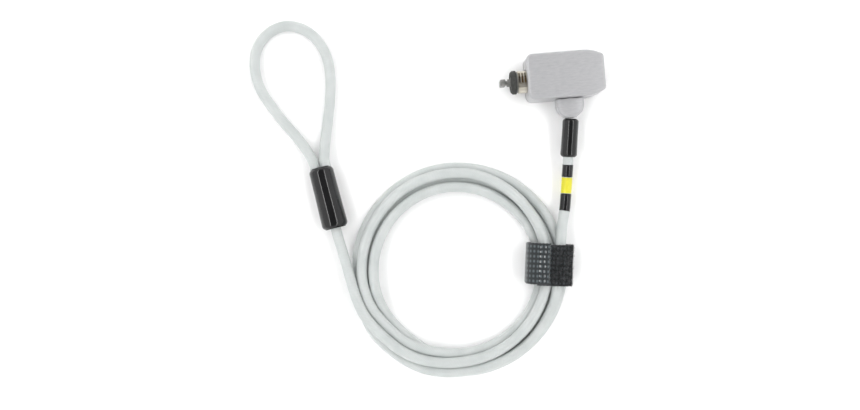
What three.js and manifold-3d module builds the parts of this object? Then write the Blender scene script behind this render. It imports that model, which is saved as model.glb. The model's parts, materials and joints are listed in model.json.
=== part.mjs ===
// Laptop cable lock: a keyed T-bar lock head with a swivelling lug, a sheathed steel
// cable with a coil, a hook-and-loop tie, and an eye closed by a crimp in a sleeve.
// Millimetres, +Z up. The head lies on its back cover: the origin is the middle of the
// head's outline on that face, +X points from the T-bar to the keyhole, and the cable
// leaves along -Y.

import * as THREE from 'three';
import { mergeVertices } from 'three/addons/utils/BufferGeometryUtils.js';
import Module from 'manifold-3d';

const wasm = await Module();
wasm.setup();

// ---- driving dimensions -----------------------------------------------------------------

const gap = 0.3; // left between pieces that touch
const runningGap = 0.2; // between a turning or sliding piece and its bearing
const overrun = 1; // how far a cutter runs past the face it opens
const roundSides = 32; // facets round a turned piece
const smallSides = 16; // facets round a pin, a rivet or a stud

// housing and back cover
const headLength = 36.4;
const headWidth = 21.6;
const headThick = 16;
const headCornerRadius = 3;
const keyEndCornerRadius = 2.2;
const smallestCorner = 0.4; // what is left of a corner once its edge is rounded
const taperLength = 10.5; // the key end draws in over this length
const taperInset = 1.7;
const edgeRound = 1.3;
const wall = 2;
const coverThick = 1.6;
const coverEdgeRound = 0.8;
const frontBearing = 5.4; // length of the solid left end that carries the barrel

// barrel, the round body that carries the key plug and slides in the housing
const barrelRadius = 5.3;
const barrelOffsetY = -1.2; // barrel axis below the middle of the head's outline
const barrelTravel = 3.8;
const railWidth = 2.6;
const railOffsetY = -1.9; // middle of the rail from the barrel axis
const railFlatDepth = 0.05; // the rail's flat below the barrel's crown
const sawSlotCount = 6;
const slotPitch = 1.4;
const slotWidth = 0.9;
const sawRadius = 3.1;
const sawOffsetY = 1.7;
const sawLift = 0.4; // middle of the saw above the barrel's crown
const firstSlotInset = 0.6; // first slot's middle behind the barrel's front face
const counterboreDepth = 1.5;

// key plug, wafers and T-bar
const plugRadius = 3.6;
const plugFlangeStep = 0.5;
const plugFlangeThick = 0.5;
const keywayWidth = 1.3;
const keywayHeight = 5.4;
const waferCount = 4;
const waferFirstSlot = 2; // index of the first saw slot that has a wafer under it
const waferThick = 0.6;
const waferGap = 0.15; // on each side of a wafer in its slot
const waferWidth = 3.4;
const waferWindowWidth = 1.7;
const waferWindowHeight = 3.2;
const spindleRadius = 1.1;
const spindleSeat = 1.2; // spindle's length inside the plug
const tHeadLength = 6.6;
const tHeadWidth = 3;
const tHeadThick = 2.6;
const tHeadWaist = 0.7; // how much its middle is thinner than its ends
const tHeadBevel = 0.35;
const slotWallRoom = 2.4; // between the washer's front and the back of the T head
const snapRingThick = 0.4;
const snapRingWidth = 0.8;
const snapRingMouth = 2.2;

// washer and guide blades in front of the barrel
const guideDiscThick = 0.5;
const guideHubRadius = 2.9;
const guideBossThick = 0.6;
const bladeHeight = 3.3; // outer end of each blade from the axis
const bladeDepth = 1.7;
const bladeThick = 2.7;
const bladeReach = 1.5;
const washerRim = 0.3; // how far it stands out past the barrel
const washerThick = 2.7;
const washerChamfer = 0.9;

// stop pin, return spring and key guide
const stopPinRadius = 1;
const stopPinInset = 1.8; // its middle from the barrel's rear end
const stopFlatDepth = 1.3; // how deep the flat is milled into the barrel's side
const stopWebThick = 3.4;
const springWire = 0.6;
const springTurns = 3;
const springInset = 0.55; // its wire's middle in from the barrel's surface
const springStepsPerTurn = 14;
const keyGuideStep = 0.9; // its flange past its disc
const keyGuideFlangeThick = 0.5;
const keyGuideRecess = 0.3;
const keyGuideSlotHeight = 6.4;

// lug and its swivel
const lugX = 1.6;
const lugWidth = 12.9;
const lugThick = 8;
const lugReach = 9.2; // how far it stands out of the housing's side
const lugBevel = 0.9;
const lugBevelWidth = 1.3;
const studRadius = 2.3;
const studHeadRadius = 3;
const studDepth = 4.6; // stud's length inside the lug
const swivelWasherThick = 0.4;
const lugCrimpRadius = 3;
const lugCrimpLength = 3.4;

// rivets of the back cover
const rivetRadius = 1.1;
const rivetHeadRadius = 1.7;
const rivetHeadThick = 0.6;
const rivetInsetX = 3.4;
const rivetInsetY = 3;

// cable and what is on it
const cableRadius = 2.5;
const cableSides = 10;
const sleeveRadius = 4;
const sleeveEndRound = 1.4;
const loopSleeveRadius = 5.8;
const loopSleeveWall = 1.6;
const loopSleeveEndRound = 1.4;
const loopCrimpWidth = 7.8;
const loopCrimpThick = 5;
const loopCrimpInset = 4;

// coil and tie
const coilCentre = new THREE.Vector2(-58.3, -88.4);
const coilInnerRadius = 37.3;
const coilOuterRadius = 53.7;
const coilHeight = 13.4;
const coilEdgeRound = 3;
const coilSteps = 60;
const strapX = -14.4;
const strapOuterWidth = 21.8;
const strapLength = 19.6;
const strapThick = 1.5;
const strapHeight = 14.6;
const strapCornerRadius = 4.5;
const strapFlapThick = 1.1;
const strapFlapReach = 11.2; // how far the overlapping end reaches from the inner side

// routes, as points along the cable's middle
const leadStart = 0.6; // clear of the lug's end
const leadPoints = [
  [0.4, -29, 7.5], [-0.8, -37.7, 6.9], [-1.2, -42, 6.4], [-2.0, -47.9, 5.8],
  [-3.0, -55.2, 5.4], [-4.3, -63, 5.7], [-5.5, -67.8, 6.2], [-6.7, -72.6, 7],
];
// lengths along the lead from the lug
const leadSleeveEnd = 17.8;
const bandStarts = [21.9, 28.1, 35.9];
const lastBandEnd = 44.2;
const leadEnd = 49.2;
const bandNames = ['black_band_upper', 'yellow_band', 'black_band_lower'];
const bandColours = [0x101112, 0xe6dc2e, 0x101112];
const tailPoints = [
  [-113.4, -62.3, 5.8], [-112.7, -65.8, 6], [-112.6, -70.8, 6.6], [-112.4, -76, 7.4],
];
const tailEnd = 10.8; // length along the tail where the coil takes it in
const loopSleeveTop = new THREE.Vector3(-119.3, -34.1, loopSleeveRadius);
const loopSleeveBottom = new THREE.Vector3(-113.4, -62.3, loopSleeveRadius);
const loopPoints = [
  [-121.85, -34.62, 5.8], [-122.5, -31.6, 5.7], [-125.2, -25.6, 4.6], [-130.2, -18, 3.2],
  [-135.7, -10.6, 2.6], [-140.4, -3.4, 2.6], [-144.4, 3.6, 2.6], [-146.8, 10.6, 2.6], [-147.4, 17.4, 2.6],
  [-146.3, 24, 2.6], [-142.7, 30.1, 2.6], [-136.6, 34.3, 2.6], [-129.7, 35.5, 2.6],
  [-122.8, 33.3, 2.6], [-116.9, 28.2, 2.6], [-113.1, 21.2, 2.6], [-111.7, 14.2, 2.6],
  [-111.6, 7, 2.6], [-112.4, -0.4, 2.6], [-113.6, -7.6, 2.6], [-115.0, -14.8, 3],
  [-116.3, -22, 3.9], [-117.1, -28, 5.3], [-117.3, -30.7, 5.7], [-116.75, -33.58, 5.8],
];

// ---- places that follow from them -------------------------------------------------------

const leftFace = -headLength / 2;
const rightFace = headLength / 2;
const axisZ = headThick / 2;
const coverTop = coverThick;
const shellBottom = coverTop + gap;
const barrelExposed = barrelTravel + gap;
const barrelFront = leftFace - barrelExposed;
const guideDiscFront = barrelFront - guideDiscThick;
const washerBack = guideDiscFront - gap;
const washerFront = washerBack - washerThick;
const tHeadBack = washerFront - slotWallRoom;
const boreRadius = barrelRadius + gap;
const plugBoreRadius = plugRadius + runningGap;
const plugFlangeRadius = plugRadius + plugFlangeStep;
const counterboreRadius = plugFlangeRadius + gap;
const railTop = barrelRadius - railFlatDepth;
const guideDiscRadius = barrelRadius - gap;
const washerRadius = barrelRadius + washerRim;
const springMeanRadius = barrelRadius - springInset;
const keyGuideFlangeRadius = boreRadius - 2 * gap;
const keyGuideRadius = keyGuideFlangeRadius - keyGuideStep;
const plugFront = barrelFront + guideBossThick + gap;
const springEnd = rightFace - wall - 2 * runningGap - keyGuideFlangeThick - gap;
const stopPinX = lugX + studHeadRadius + gap + stopWebThick / 2;
const barrelRear = stopPinX + stopPinInset;
const plugRear = barrelRear - counterboreDepth;
const sideWallInner = headWidth / 2 - wall;
const springStart = barrelRear + gap;
const lugTop = -headWidth / 2 - gap;
const lugEnd = lugTop - lugReach;
const tieMiddleY = coilCentre.y;

// ---- materials --------------------------------------------------------------------------

function finish(colour, roughness, metalness) {
  return new THREE.MeshStandardMaterial({ color: colour, roughness: roughness, metalness: metalness });
}

const castZinc = () => finish(0xbdbdc0, 0.42, 0.85);
const nickel = () => finish(0xcfc9be, 0.22, 1);
const brass = () => finish(0xb8935a, 0.35, 1);
const darkSteel = () => finish(0x6d6c68, 0.4, 0.9);
const springSteel = () => finish(0x9a9a9c, 0.35, 1);
const rubber = () => finish(0x3b3c3a, 0.8, 0);
const blackVinyl = () => finish(0x0c0c0d, 0.22, 0);
const clearVinyl = () => finish(0xdfe6e4, 0.35, 0);
const tapeBlack = () => finish(0x1d2124, 0.95, 0);

// ---- solids: join, cut and place --------------------------------------------------------

function toSolid(geometry) {
  const bare = geometry.clone();
  bare.deleteAttribute('normal');
  bare.deleteAttribute('uv');
  const merged = mergeVertices(bare, 1e-5);
  return new wasm.Manifold(new wasm.Mesh({
    numProp: 3,
    vertProperties: new Float32Array(merged.attributes.position.array),
    triVerts: new Uint32Array(merged.index.array),
  }));
}

function toGeometry(solid) {
  const mesh = solid.getMesh();
  const geometry = new THREE.BufferGeometry();
  geometry.setAttribute('position', new THREE.BufferAttribute(mesh.vertProperties, 3));
  geometry.setIndex(new THREE.BufferAttribute(mesh.triVerts, 1));
  geometry.computeVertexNormals();
  return geometry;
}

function cut(geometry, ...cutters) {
  let solid = toSolid(geometry);
  for (const cutter of cutters) {
    solid = solid.subtract(toSolid(cutter));
  }
  return toGeometry(solid);
}

function join(...geometries) {
  let solid = toSolid(geometries[0]);
  for (const other of geometries.slice(1)) {
    solid = solid.add(toSolid(other));
  }
  return toGeometry(solid);
}

function common(geometry, other) {
  return toGeometry(toSolid(geometry).intersect(toSolid(other)));
}

// a box between two corners
function block(x0, x1, y0, y1, z0, z1) {
  const geometry = new THREE.BoxGeometry(x1 - x0, y1 - y0, z1 - z0);
  return geometry.translate((x0 + x1) / 2, (y0 + y1) / 2, (z0 + z1) / 2);
}

// a cylinder along X, round the axis through y, z
function rodX(radius, x0, x1, y, z) {
  const geometry = new THREE.CylinderGeometry(radius, radius, x1 - x0, roundSides);
  return geometry.rotateZ(Math.PI / 2).translate((x0 + x1) / 2, y, z);
}

function rodY(radius, y0, y1, x, z) {
  const geometry = new THREE.CylinderGeometry(radius, radius, y1 - y0, smallSides);
  return geometry.translate(x, (y0 + y1) / 2, z);
}

function rodZ(radius, z0, z1, x, y) {
  const geometry = new THREE.CylinderGeometry(radius, radius, z1 - z0, smallSides);
  return geometry.rotateX(Math.PI / 2).translate(x, y, (z0 + z1) / 2);
}

// a turned piece: pairs of radius and distance along the axis, closed on itself
function turned(profile, steps = roundSides) {
  const points = profile.map(([radius, along]) => new THREE.Vector2(radius, along));
  return new THREE.LatheGeometry(points, steps);
}

function ring(innerRadius, outerRadius, x0, x1) {
  const geometry = turned([[innerRadius, -x1], [outerRadius, -x1], [outerRadius, -x0],
    [innerRadius, -x0], [innerRadius, -x1]]);
  return geometry.rotateZ(Math.PI / 2);
}

// ---- the head ---------------------------------------------------------------------------

// outline of the head seen from above, drawn in by inset on every side
function headOutline(inset) {
  const halfWidth = headWidth / 2 - inset;
  const left = leftFace + inset;
  const right = rightFace - inset;
  const corner = headCornerRadius - inset;
  const keyCorner = Math.max(keyEndCornerRadius - inset, smallestCorner);
  const keyHalf = halfWidth - taperInset;
  const taperStart = right - taperLength;
  const taperBend = taperStart + taperLength / 2;
  const shape = new THREE.Shape();
  shape.moveTo(left + corner, -halfWidth);
  shape.lineTo(taperStart, -halfWidth);
  shape.quadraticCurveTo(taperBend, -halfWidth, right - keyCorner, -keyHalf);
  shape.quadraticCurveTo(right, -keyHalf + keyCorner / 4, right, -keyHalf + keyCorner);
  shape.lineTo(right, keyHalf - keyCorner);
  shape.quadraticCurveTo(right, keyHalf - keyCorner / 4, right - keyCorner, keyHalf);
  shape.quadraticCurveTo(taperBend, halfWidth, taperStart, halfWidth);
  shape.lineTo(left + corner, halfWidth);
  shape.absarc(left + corner, halfWidth - corner, corner, Math.PI / 2, Math.PI, false);
  shape.lineTo(left, -halfWidth + corner);
  shape.absarc(left + corner, -halfWidth + corner, corner, Math.PI, 1.5 * Math.PI, false);
  return shape;
}

// the head's whole outer form, with both big edges rounded
function headForm() {
  const options = {
    depth: headThick - edgeRound - coverEdgeRound,
    bevelThickness: edgeRound,
    bevelSize: edgeRound,
    bevelSegments: 3,
    curveSegments: 6,
  };
  const upper = new THREE.ExtrudeGeometry(headOutline(edgeRound), options);
  upper.translate(0, 0, coverEdgeRound);
  const coverOptions = { ...options, bevelThickness: coverEdgeRound, bevelSize: coverEdgeRound };
  const lower = new THREE.ExtrudeGeometry(headOutline(coverEdgeRound), coverOptions);
  lower.translate(0, 0, coverEdgeRound);
  const top = common(upper, block(-headLength, headLength, -headWidth, headWidth, axisZ, headThick));
  const bottom = common(lower, block(-headLength, headLength, -headWidth, headWidth, 0, axisZ));
  return join(top, bottom);
}

function rivetPlaces() {
  const x = headLength / 2 - rivetInsetX;
  const y = headWidth / 2 - rivetInsetY;
  const keyY = y - taperInset;
  return [[-x, -y], [-x, y], [x, -keyY], [x, keyY]];
}

function housingShell() {
  const rearPocketStart = stopPinX + stopWebThick / 2;
  const frontPocketEnd = stopPinX - stopWebThick / 2;
  const pocketTop = headThick - wall;
  const low = -overrun;
  const pocketHalf = sideWallInner;
  const keyPocketHalf = pocketHalf - taperInset - rivetHeadRadius;
  const frontPocket = block(leftFace + frontBearing, frontPocketEnd, -pocketHalf, pocketHalf, low,
    pocketTop);
  const rearPocket = block(rearPocketStart, rightFace - wall, -keyPocketHalf, keyPocketHalf, low,
    pocketTop);
  const bore = rodX(boreRadius, leftFace - overrun, rightFace - wall, barrelOffsetY, axisZ);
  const railGroove = block(leftFace - overrun, barrelRear + barrelTravel + overrun,
    barrelOffsetY + railOffsetY - railWidth / 2 - gap, barrelOffsetY + railOffsetY + railWidth / 2 + gap,
    axisZ, axisZ + railTop + gap);
  const cutters = [
    block(-headLength, headLength, -headWidth, headWidth, low, shellBottom),
    frontPocket,
    rearPocket,
    bore,
    railGroove,
    rodZ(stopPinRadius + gap, low, pocketTop, stopPinX, stopPinY()),
    rodX(keyGuideRadius + runningGap, rightFace - wall - overrun, rightFace + overrun, barrelOffsetY,
      axisZ),
    rodY(studRadius + runningGap, -headWidth / 2 - overrun, -sideWallInner + overrun, lugX, axisZ),
  ];
  for (const [x, y] of rivetPlaces()) {
    cutters.push(rodZ(rivetRadius + gap, low, rivetLength() + gap, x, y));
  }
  return cut(headForm(), ...cutters);
}

function backCover() {
  const plate = common(headForm(),
    block(-headLength, headLength, -headWidth, headWidth, -overrun, coverTop));
  const cutters = [];
  for (const [x, y] of rivetPlaces()) {
    cutters.push(rodZ(rivetRadius + gap, -overrun, headThick, x, y));
    cutters.push(rodZ(rivetHeadRadius + gap, -overrun, rivetHeadThick + gap, x, y));
  }
  return cut(plate, ...cutters);
}

// the key-end rivets stand beside the return spring, so all of them end below its lowest turn there
function rivetLength() {
  const springRadius = springMeanRadius + springWire / 2;
  const side = headWidth / 2 - rivetInsetY - taperInset + barrelOffsetY - rivetRadius;
  return axisZ - Math.sqrt(springRadius ** 2 - side ** 2) - gap;
}

function coverRivet() {
  const length = rivetLength();
  return turned([[0, 0], [rivetHeadRadius, 0], [rivetHeadRadius, rivetHeadThick],
    [rivetRadius, rivetHeadThick], [rivetRadius, length], [0, length]], smallSides)
    .rotateX(Math.PI / 2);
}

// the pin stands beside the barrel, in a flat milled along the barrel's side
function stopPinY() {
  return barrelOffsetY + barrelRadius - stopFlatDepth + stopPinRadius + gap;
}

function stopPin() {
  return rodZ(stopPinRadius, shellBottom, headThick - wall - gap, stopPinX, stopPinY());
}

class SpringLine extends THREE.Curve {
  getPoint(t) {
    const angle = t * springTurns * 2 * Math.PI;
    const start = springStart + springWire / 2;
    const end = springEnd - springWire / 2;
    return new THREE.Vector3(start + (end - start) * t,
      barrelOffsetY + springMeanRadius * Math.cos(angle), axisZ + springMeanRadius * Math.sin(angle));
  }
}

function wireSection(radius, sides) {
  const shape = new THREE.Shape();
  for (let i = 0; i < sides; i += 1) {
    const angle = (i / sides) * 2 * Math.PI;
    const method = i === 0 ? 'moveTo' : 'lineTo';
    shape[method](radius * Math.cos(angle), radius * Math.sin(angle));
  }
  shape.closePath();
  return shape;
}

function returnSpring() {
  const steps = springTurns * springStepsPerTurn;
  const section = wireSection(springWire / 2, 6);
  return new THREE.ExtrudeGeometry(section, { extrudePath: new SpringLine(), steps: steps });
}

function keyGuideDisc() {
  const back = springEnd + gap;
  const flange = rodX(keyGuideFlangeRadius, back, back + keyGuideFlangeThick, 0, 0);
  const disc = rodX(keyGuideRadius, back, rightFace - keyGuideRecess, 0, 0);
  const slot = block(back - overrun, rightFace + overrun, -keywayWidth / 2, keywayWidth / 2,
    -keyGuideSlotHeight / 2, keyGuideSlotHeight / 2);
  return cut(join(flange, disc), slot);
}

// ---- the barrel, drawn round its own axis -----------------------------------------------

function barrelSleeve() {
  const tube = rodX(barrelRadius, barrelFront, barrelRear, 0, 0);
  const rail = block(barrelFront, barrelRear, railOffsetY - railWidth / 2, railOffsetY + railWidth / 2,
    plugBoreRadius, railTop);
  const flatY = barrelRadius - stopFlatDepth;
  const flatEnd = stopPinX + stopPinRadius + gap;
  const flatStart = flatEnd - barrelTravel - 2 * (stopPinRadius + gap);
  const cutters = [
    rodX(plugBoreRadius, barrelFront - overrun, barrelRear + overrun, 0, 0),
    rodX(counterboreRadius, barrelRear - counterboreDepth, barrelRear + overrun, 0, 0),
    block(flatStart, flatEnd, flatY, barrelRadius + overrun, -barrelRadius, barrelRadius),
  ];
  for (let i = 0; i < sawSlotCount; i += 1) {
    const middle = slotX(i);
    cutters.push(rodX(sawRadius, middle - slotWidth / 2, middle + slotWidth / 2, sawOffsetY,
      barrelRadius + sawLift));
  }
  return cut(join(tube, rail), ...cutters);
}

function slotX(index) {
  return barrelFront + firstSlotInset + index * slotPitch;
}

function snapRing() {
  const outer = counterboreRadius - runningGap;
  const end = barrelRear - gap / 2;
  const mouth = block(end - snapRingThick - overrun, end + overrun, -snapRingMouth / 2, snapRingMouth / 2,
    -counterboreRadius, 0);
  return cut(ring(outer - snapRingWidth, outer, end - snapRingThick, end), mouth);
}

function guideBlades() {
  const hubFront = washerFront + gap;
  const hub = rodX(guideHubRadius, hubFront, barrelFront - gap / 2, 0, 0);
  const disc = rodX(guideDiscRadius, guideDiscFront, barrelFront - gap / 2, 0, 0);
  const boss = rodX(plugRadius - gap, guideDiscFront, barrelFront + guideBossThick, 0, 0);
  const blades = [-1, 1].map((side) => {
    const z = side * (bladeHeight - bladeDepth / 2);
    return block(hubFront - gap - bladeReach, guideDiscFront + gap, -bladeThick / 2, bladeThick / 2,
      z - bladeDepth / 2, z + bladeDepth / 2);
  });
  const spindleHole = rodX(spindleRadius + runningGap, hubFront - bladeReach - overrun, plugFront, 0, 0);
  return cut(join(hub, disc, boss, ...blades), spindleHole);
}

function rubberWasher() {
  const bore = bladeHeight + gap;
  const profile = [[bore, -washerFront], [washerRadius - washerChamfer, -washerFront],
    [washerRadius, -washerFront - washerChamfer], [washerRadius, -washerBack],
    [bore, -washerBack], [bore, -washerFront]];
  return turned(profile.reverse()).rotateZ(Math.PI / 2);
}

// ---- what turns with the key ------------------------------------------------------------

function keyPlug() {
  const body = rodX(plugRadius, plugFront, plugRear + plugFlangeThick, 0, 0);
  const flangeStart = plugRear + gap / 2;
  const flange = rodX(plugFlangeRadius, flangeStart, flangeStart + plugFlangeThick, 0, 0);
  const keywayEnd = slotX(waferFirstSlot) - slotWidth;
  const cutters = [
    block(keywayEnd, barrelRear, -keywayWidth / 2, keywayWidth / 2, -keywayHeight / 2, keywayHeight / 2),
    rodX(spindleRadius + gap, plugFront - overrun, plugFront + spindleSeat + gap, 0, 0),
  ];
  const halfSlot = waferThick / 2 + waferGap;
  for (let i = 0; i < waferCount; i += 1) {
    const middle = slotX(waferFirstSlot + i);
    cutters.push(block(middle - halfSlot, middle + halfSlot, -waferWidth / 2 - runningGap,
      waferWidth / 2 + runningGap, -plugRadius - overrun, plugRadius + overrun));
  }
  return cut(join(body, flange), ...cutters);
}

function wafer(index) {
  const middle = slotX(waferFirstSlot + index);
  const plate = block(middle - waferThick / 2, middle + waferThick / 2, -waferWidth / 2, waferWidth / 2,
    -plugRadius, plugRadius);
  const window = block(middle - waferThick, middle + waferThick, -waferWindowWidth / 2,
    waferWindowWidth / 2, -waferWindowHeight / 2, waferWindowHeight / 2);
  const shearLine = rodX(plugRadius, middle - waferThick, middle + waferThick, 0, 0);
  return common(cut(plate, window), shearLine);
}

function tBar() {
  const spindle = rodX(spindleRadius, tHeadBack - tHeadThick / 2, plugFront + spindleSeat, 0, 0);
  const half = tHeadLength / 2;
  const waist = tHeadWidth / 2 - tHeadWaist;
  const shape = new THREE.Shape();
  shape.moveTo(-tHeadWidth / 2, -half);
  shape.lineTo(tHeadWidth / 2, -half);
  shape.lineTo(tHeadWidth / 2, -half / 2);
  shape.lineTo(waist, 0);
  shape.lineTo(tHeadWidth / 2, half / 2);
  shape.lineTo(tHeadWidth / 2, half);
  shape.lineTo(-tHeadWidth / 2, half);
  shape.lineTo(-tHeadWidth / 2, half / 2);
  shape.lineTo(-waist, 0);
  shape.lineTo(-tHeadWidth / 2, -half / 2);
  shape.closePath();
  const options = {
    depth: tHeadThick - 2 * tHeadBevel,
    bevelThickness: tHeadBevel,
    bevelSize: tHeadBevel,
    bevelOffset: -tHeadBevel,
    bevelSegments: 1,
  };
  const head = new THREE.ExtrudeGeometry(shape, options);
  head.rotateX(Math.PI / 2).rotateZ(Math.PI / 2).translate(tHeadBack - tHeadThick + tHeadBevel,
    0, 0);
  return join(head, spindle);
}

// ---- lug and swivel ---------------------------------------------------------------------

function lug() {
  const half = lugWidth / 2 - lugBevelWidth;
  const endCentre = lugEnd + lugWidth / 2;
  const shape = new THREE.Shape();
  shape.moveTo(lugX + half, lugTop + lugWidth / 2);
  shape.lineTo(lugX - half, lugTop + lugWidth / 2);
  shape.lineTo(lugX - half, endCentre);
  shape.absarc(lugX, endCentre, half, Math.PI, 2 * Math.PI, false);
  shape.closePath();
  const options = {
    depth: lugThick - 2 * lugBevel,
    bevelThickness: lugBevel,
    bevelSize: lugBevelWidth,
    bevelSegments: 3,
    curveSegments: 12,
  };
  const plate = new THREE.ExtrudeGeometry(shape, options);
  plate.translate(0, 0, axisZ - lugThick / 2 + lugBevel);
  const trimmed = cut(plate, block(-headLength, headLength, lugTop, headWidth, 0, headThick));
  const studHole = rodY(studRadius + gap, lugTop - studDepth - gap, lugTop + overrun, lugX, axisZ);
  const crimpHole = rodY(lugCrimpRadius + gap, lugEnd - overrun, crimpTop() + gap, lugX, axisZ);
  return cut(trimmed, studHole, crimpHole);
}

function crimpTop() {
  return lugEnd + lugCrimpLength + gap;
}

function swivelStud() {
  const headStart = -sideWallInner + swivelWasherThick + 2 * runningGap;
  const headEnd = barrelOffsetY - barrelRadius - gap;
  const shank = rodY(studRadius, lugTop - studDepth, (headStart + headEnd) / 2, lugX, axisZ);
  const head = rodY(studHeadRadius, headStart, headEnd, lugX, axisZ);
  return join(shank, head);
}

function swivelWasher() {
  const bottom = -sideWallInner + runningGap / 2;
  const disc = rodY(studHeadRadius, bottom, bottom + swivelWasherThick, lugX, axisZ);
  return cut(disc, rodY(studRadius + runningGap, bottom - overrun, bottom + overrun, lugX, axisZ));
}

function lugCrimp() {
  return rodY(lugCrimpRadius, lugEnd + gap, crimpTop(), lugX, axisZ);
}

// ---- cable, sleeves, coil and tie -------------------------------------------------------

function routeCurve(points) {
  const places = points.map(([x, y, z]) => new THREE.Vector3(x, y, z));
  return new THREE.CatmullRomCurve3(places, false, 'centripetal');
}

// a stretch of a longer curve, between two lengths along it
class Stretch extends THREE.Curve {
  constructor(curve, from, to) {
    super();
    this.curve = curve;
    this.total = curve.getLength();
    this.from = from;
    this.to = to;
  }

  getPoint(t) {
    return this.curve.getPointAt((this.from + (this.to - this.from) * t) / this.total);
  }
}

function cableStretch(curve, from, to, steps) {
  const section = wireSection(cableRadius, cableSides);
  return new THREE.ExtrudeGeometry(section, { extrudePath: new Stretch(curve, from, to), steps: steps });
}

// a turned sleeve with rounded ends, laid from one point to another
function sleeveBetween(start, end, radius, endRound, boreRadiusOrZero) {
  const length = start.distanceTo(end);
  const arcSteps = 3;
  const profile = [[boreRadiusOrZero, 0]];
  for (let i = 0; i <= arcSteps; i += 1) {
    const angle = (i / arcSteps) * (Math.PI / 2);
    profile.push([radius - endRound + endRound * Math.sin(angle), endRound * (1 - Math.cos(angle))]);
  }
  for (let i = arcSteps; i >= 0; i -= 1) {
    const angle = (i / arcSteps) * (Math.PI / 2);
    profile.push([radius - endRound + endRound * Math.sin(angle),
      length - endRound * (1 - Math.cos(angle))]);
  }
  profile.push([boreRadiusOrZero, length]);
  if (boreRadiusOrZero > 0) {
    profile.push([boreRadiusOrZero, 0]);
  }
  return turned(profile);
}

function layAlong(object, start, end) {
  const direction = end.clone().sub(start).normalize();
  object.position.copy(start);
  object.quaternion.setFromUnitVectors(new THREE.Vector3(0, 1, 0), direction);
  return object;
}

function loopCrimp(length) {
  const half = (loopCrimpWidth - loopCrimpThick) / 2;
  const radius = loopCrimpThick / 2;
  const shape = new THREE.Shape();
  shape.absarc(half, 0, radius, -Math.PI / 2, Math.PI / 2, false);
  shape.absarc(-half, 0, radius, Math.PI / 2, 1.5 * Math.PI, false);
  shape.closePath();
  const depth = length - 2 * loopCrimpInset;
  const options = { depth: depth, bevelEnabled: false, curveSegments: 10 };
  const geometry = new THREE.ExtrudeGeometry(shape, options);
  return geometry.rotateX(-Math.PI / 2).translate(0, loopCrimpInset, 0);
}

// rounded rectangle in the plane across the tie, z measured from the table
function bandShape(width, bottom, top, corner) {
  const half = width / 2;
  const shape = new THREE.Shape();
  shape.absarc(half - corner, top - corner, corner, 0, Math.PI / 2, false);
  shape.absarc(-half + corner, top - corner, corner, Math.PI / 2, Math.PI, false);
  shape.absarc(-half + corner, bottom + corner, corner, Math.PI, 1.5 * Math.PI, false);
  shape.absarc(half - corner, bottom + corner, corner, 1.5 * Math.PI, 2 * Math.PI, false);
  shape.closePath();
  return shape;
}

function strapRing(grow) {
  const bandTop = strapHeight - strapFlapThick - gap;
  const outer = bandShape(strapOuterWidth + 2 * grow, -grow, bandTop + grow, strapCornerRadius + grow);
  const inner = bandShape(strapOuterWidth - 2 * strapThick - 2 * grow, strapThick + grow,
    bandTop - strapThick - grow, strapCornerRadius - strapThick - grow);
  outer.holes.push(new THREE.Path(inner.getPoints(6).reverse()));
  const options = { depth: strapLength + 2 * grow, bevelEnabled: false, curveSegments: 6 };
  const geometry = new THREE.ExtrudeGeometry(outer, options);
  return geometry.rotateX(Math.PI / 2).translate(strapX, tieMiddleY + strapLength / 2 + grow, 0);
}

// the tie's overlapping end lies on top, from the inner side to just past the middle
function strapFlap() {
  const left = -strapOuterWidth / 2 + strapCornerRadius;
  const bottom = strapHeight - strapFlapThick;
  const plate = block(strapX + left, strapX - strapOuterWidth / 2 + strapFlapReach,
    tieMiddleY - strapLength / 2, tieMiddleY + strapLength / 2, bottom, strapHeight);
  return plate;
}

function cableCoil() {
  const profile = [];
  const corners = [[coilOuterRadius, 0, 0], [coilOuterRadius, coilHeight, 1],
    [coilInnerRadius, coilHeight, 2], [coilInnerRadius, 0, 3]];
  const arcSteps = 2;
  for (const [radius, height, quarter] of corners) {
    const inward = radius === coilOuterRadius ? -coilEdgeRound : coilEdgeRound;
    const centreRadius = radius + inward;
    const centreHeight = height === 0 ? coilEdgeRound : height - coilEdgeRound;
    for (let i = 0; i <= arcSteps; i += 1) {
      const angle = (quarter - 1 + i / arcSteps) * (Math.PI / 2);
      profile.push([centreRadius + coilEdgeRound * Math.cos(angle),
        centreHeight + coilEdgeRound * Math.sin(angle)]);
    }
  }
  profile.push(profile[0]);
  const geometry = turned(profile, coilSteps).rotateX(Math.PI / 2);
  geometry.translate(coilCentre.x, coilCentre.y, 0);
  return cut(geometry, strapRing(gap));
}

// ---- the assembly -----------------------------------------------------------------------

const group = new THREE.Group();

function add(parent, name, geometry, material) {
  const mesh = new THREE.Mesh(geometry, material);
  mesh.name = name;
  parent.add(mesh);
  return mesh;
}

const head = new THREE.Group();
group.add(head);
add(head, 'housing_shell', housingShell(), castZinc());
add(head, 'back_cover', backCover(), castZinc());
rivetPlaces().forEach(([x, y], index) => {
  add(head, `cover_rivet_${index + 1}`, coverRivet(), springSteel()).position.set(x, y, 0);
});
add(head, 'stop_pin', stopPin(), springSteel());
add(head, 'return_spring', returnSpring(), springSteel());
add(head, 'swivel_washer', swivelWasher(), springSteel());

const keyAxis = new THREE.Group();
keyAxis.position.set(0, barrelOffsetY, axisZ);
group.add(keyAxis);
add(keyAxis, 'key_guide_disc', keyGuideDisc(), darkSteel());
add(keyAxis, 'barrel_sleeve', barrelSleeve(), nickel());
add(keyAxis, 'plug_snap_ring', snapRing(), springSteel());
add(keyAxis, 'guide_blades', guideBlades(), darkSteel());
add(keyAxis, 'rubber_washer', rubberWasher(), rubber());
add(keyAxis, 'key_plug', keyPlug(), brass());
for (let i = 0; i < waferCount; i += 1) {
  add(keyAxis, `wafer_${i + 1}`, wafer(i), brass());
}
add(keyAxis, 't_bar', tBar(), darkSteel());

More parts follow.
